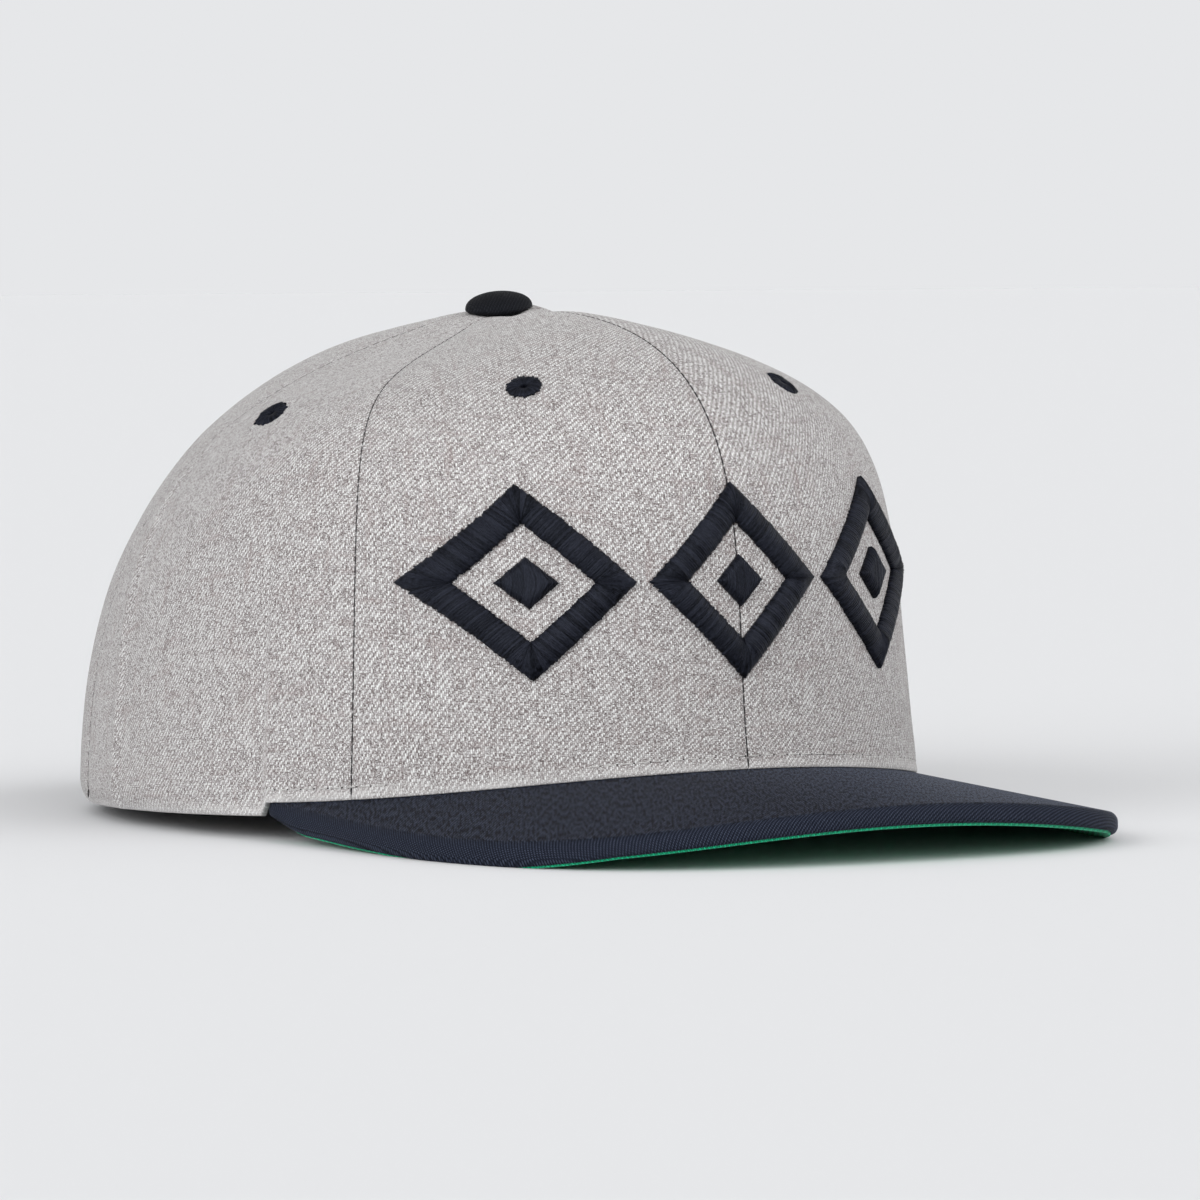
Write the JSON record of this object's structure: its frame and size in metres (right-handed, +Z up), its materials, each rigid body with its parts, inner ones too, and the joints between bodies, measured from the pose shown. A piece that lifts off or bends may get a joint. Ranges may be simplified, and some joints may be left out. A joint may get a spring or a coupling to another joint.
{
  "type": "flat bill cap",
  "caption": "Structured six-panel cap with a flat stiff bill, covered top button, stitched eyelets, sweatband and a raised geometric front motif, to wear on a head.",
  "frame": {"origin": "middle of the cap's bounding box, on the surface that it rests on", "axes": "+Z up, the bill points to -Y, the wearer's right is -X"},
  "size_m": [0.1658, 0.271, 0.1107],
  "materials": {
    "crown_cloth": "heather grey twill",
    "bill_cloth": "blue-black wool twill",
    "under_cloth": "green twill",
    "thread": "satin stitched thread",
    "button_cloth": "black wool twill",
    "band_cloth": "plain black cotton twill"
  },
  "bodies": {
    "root": {"panel_front_right": "crown_cloth", "panel_side_right": "crown_cloth", "panel_back_right": "crown_cloth", "panel_front_left": "crown_cloth", "panel_side_left": "crown_cloth", "panel_back_left": "crown_cloth", "eyelet_front_right": "thread", "eyelet_side_right": "thread", "eyelet_back_right": "thread", "eyelet_front_left": "thread", "eyelet_side_left": "thread", "eyelet_back_left": "thread", "motif_diamond_right": "thread", "motif_diamond_middle": "thread", "motif_diamond_left": "thread", "motif_dot_right": "thread", "motif_dot_middle": "thread", "motif_dot_left": "thread", "bill_top": "bill_cloth", "bill_under": "under_cloth", "sweatband": "band_cloth", "button": "button_cloth"}
  },
  "joints": []
}
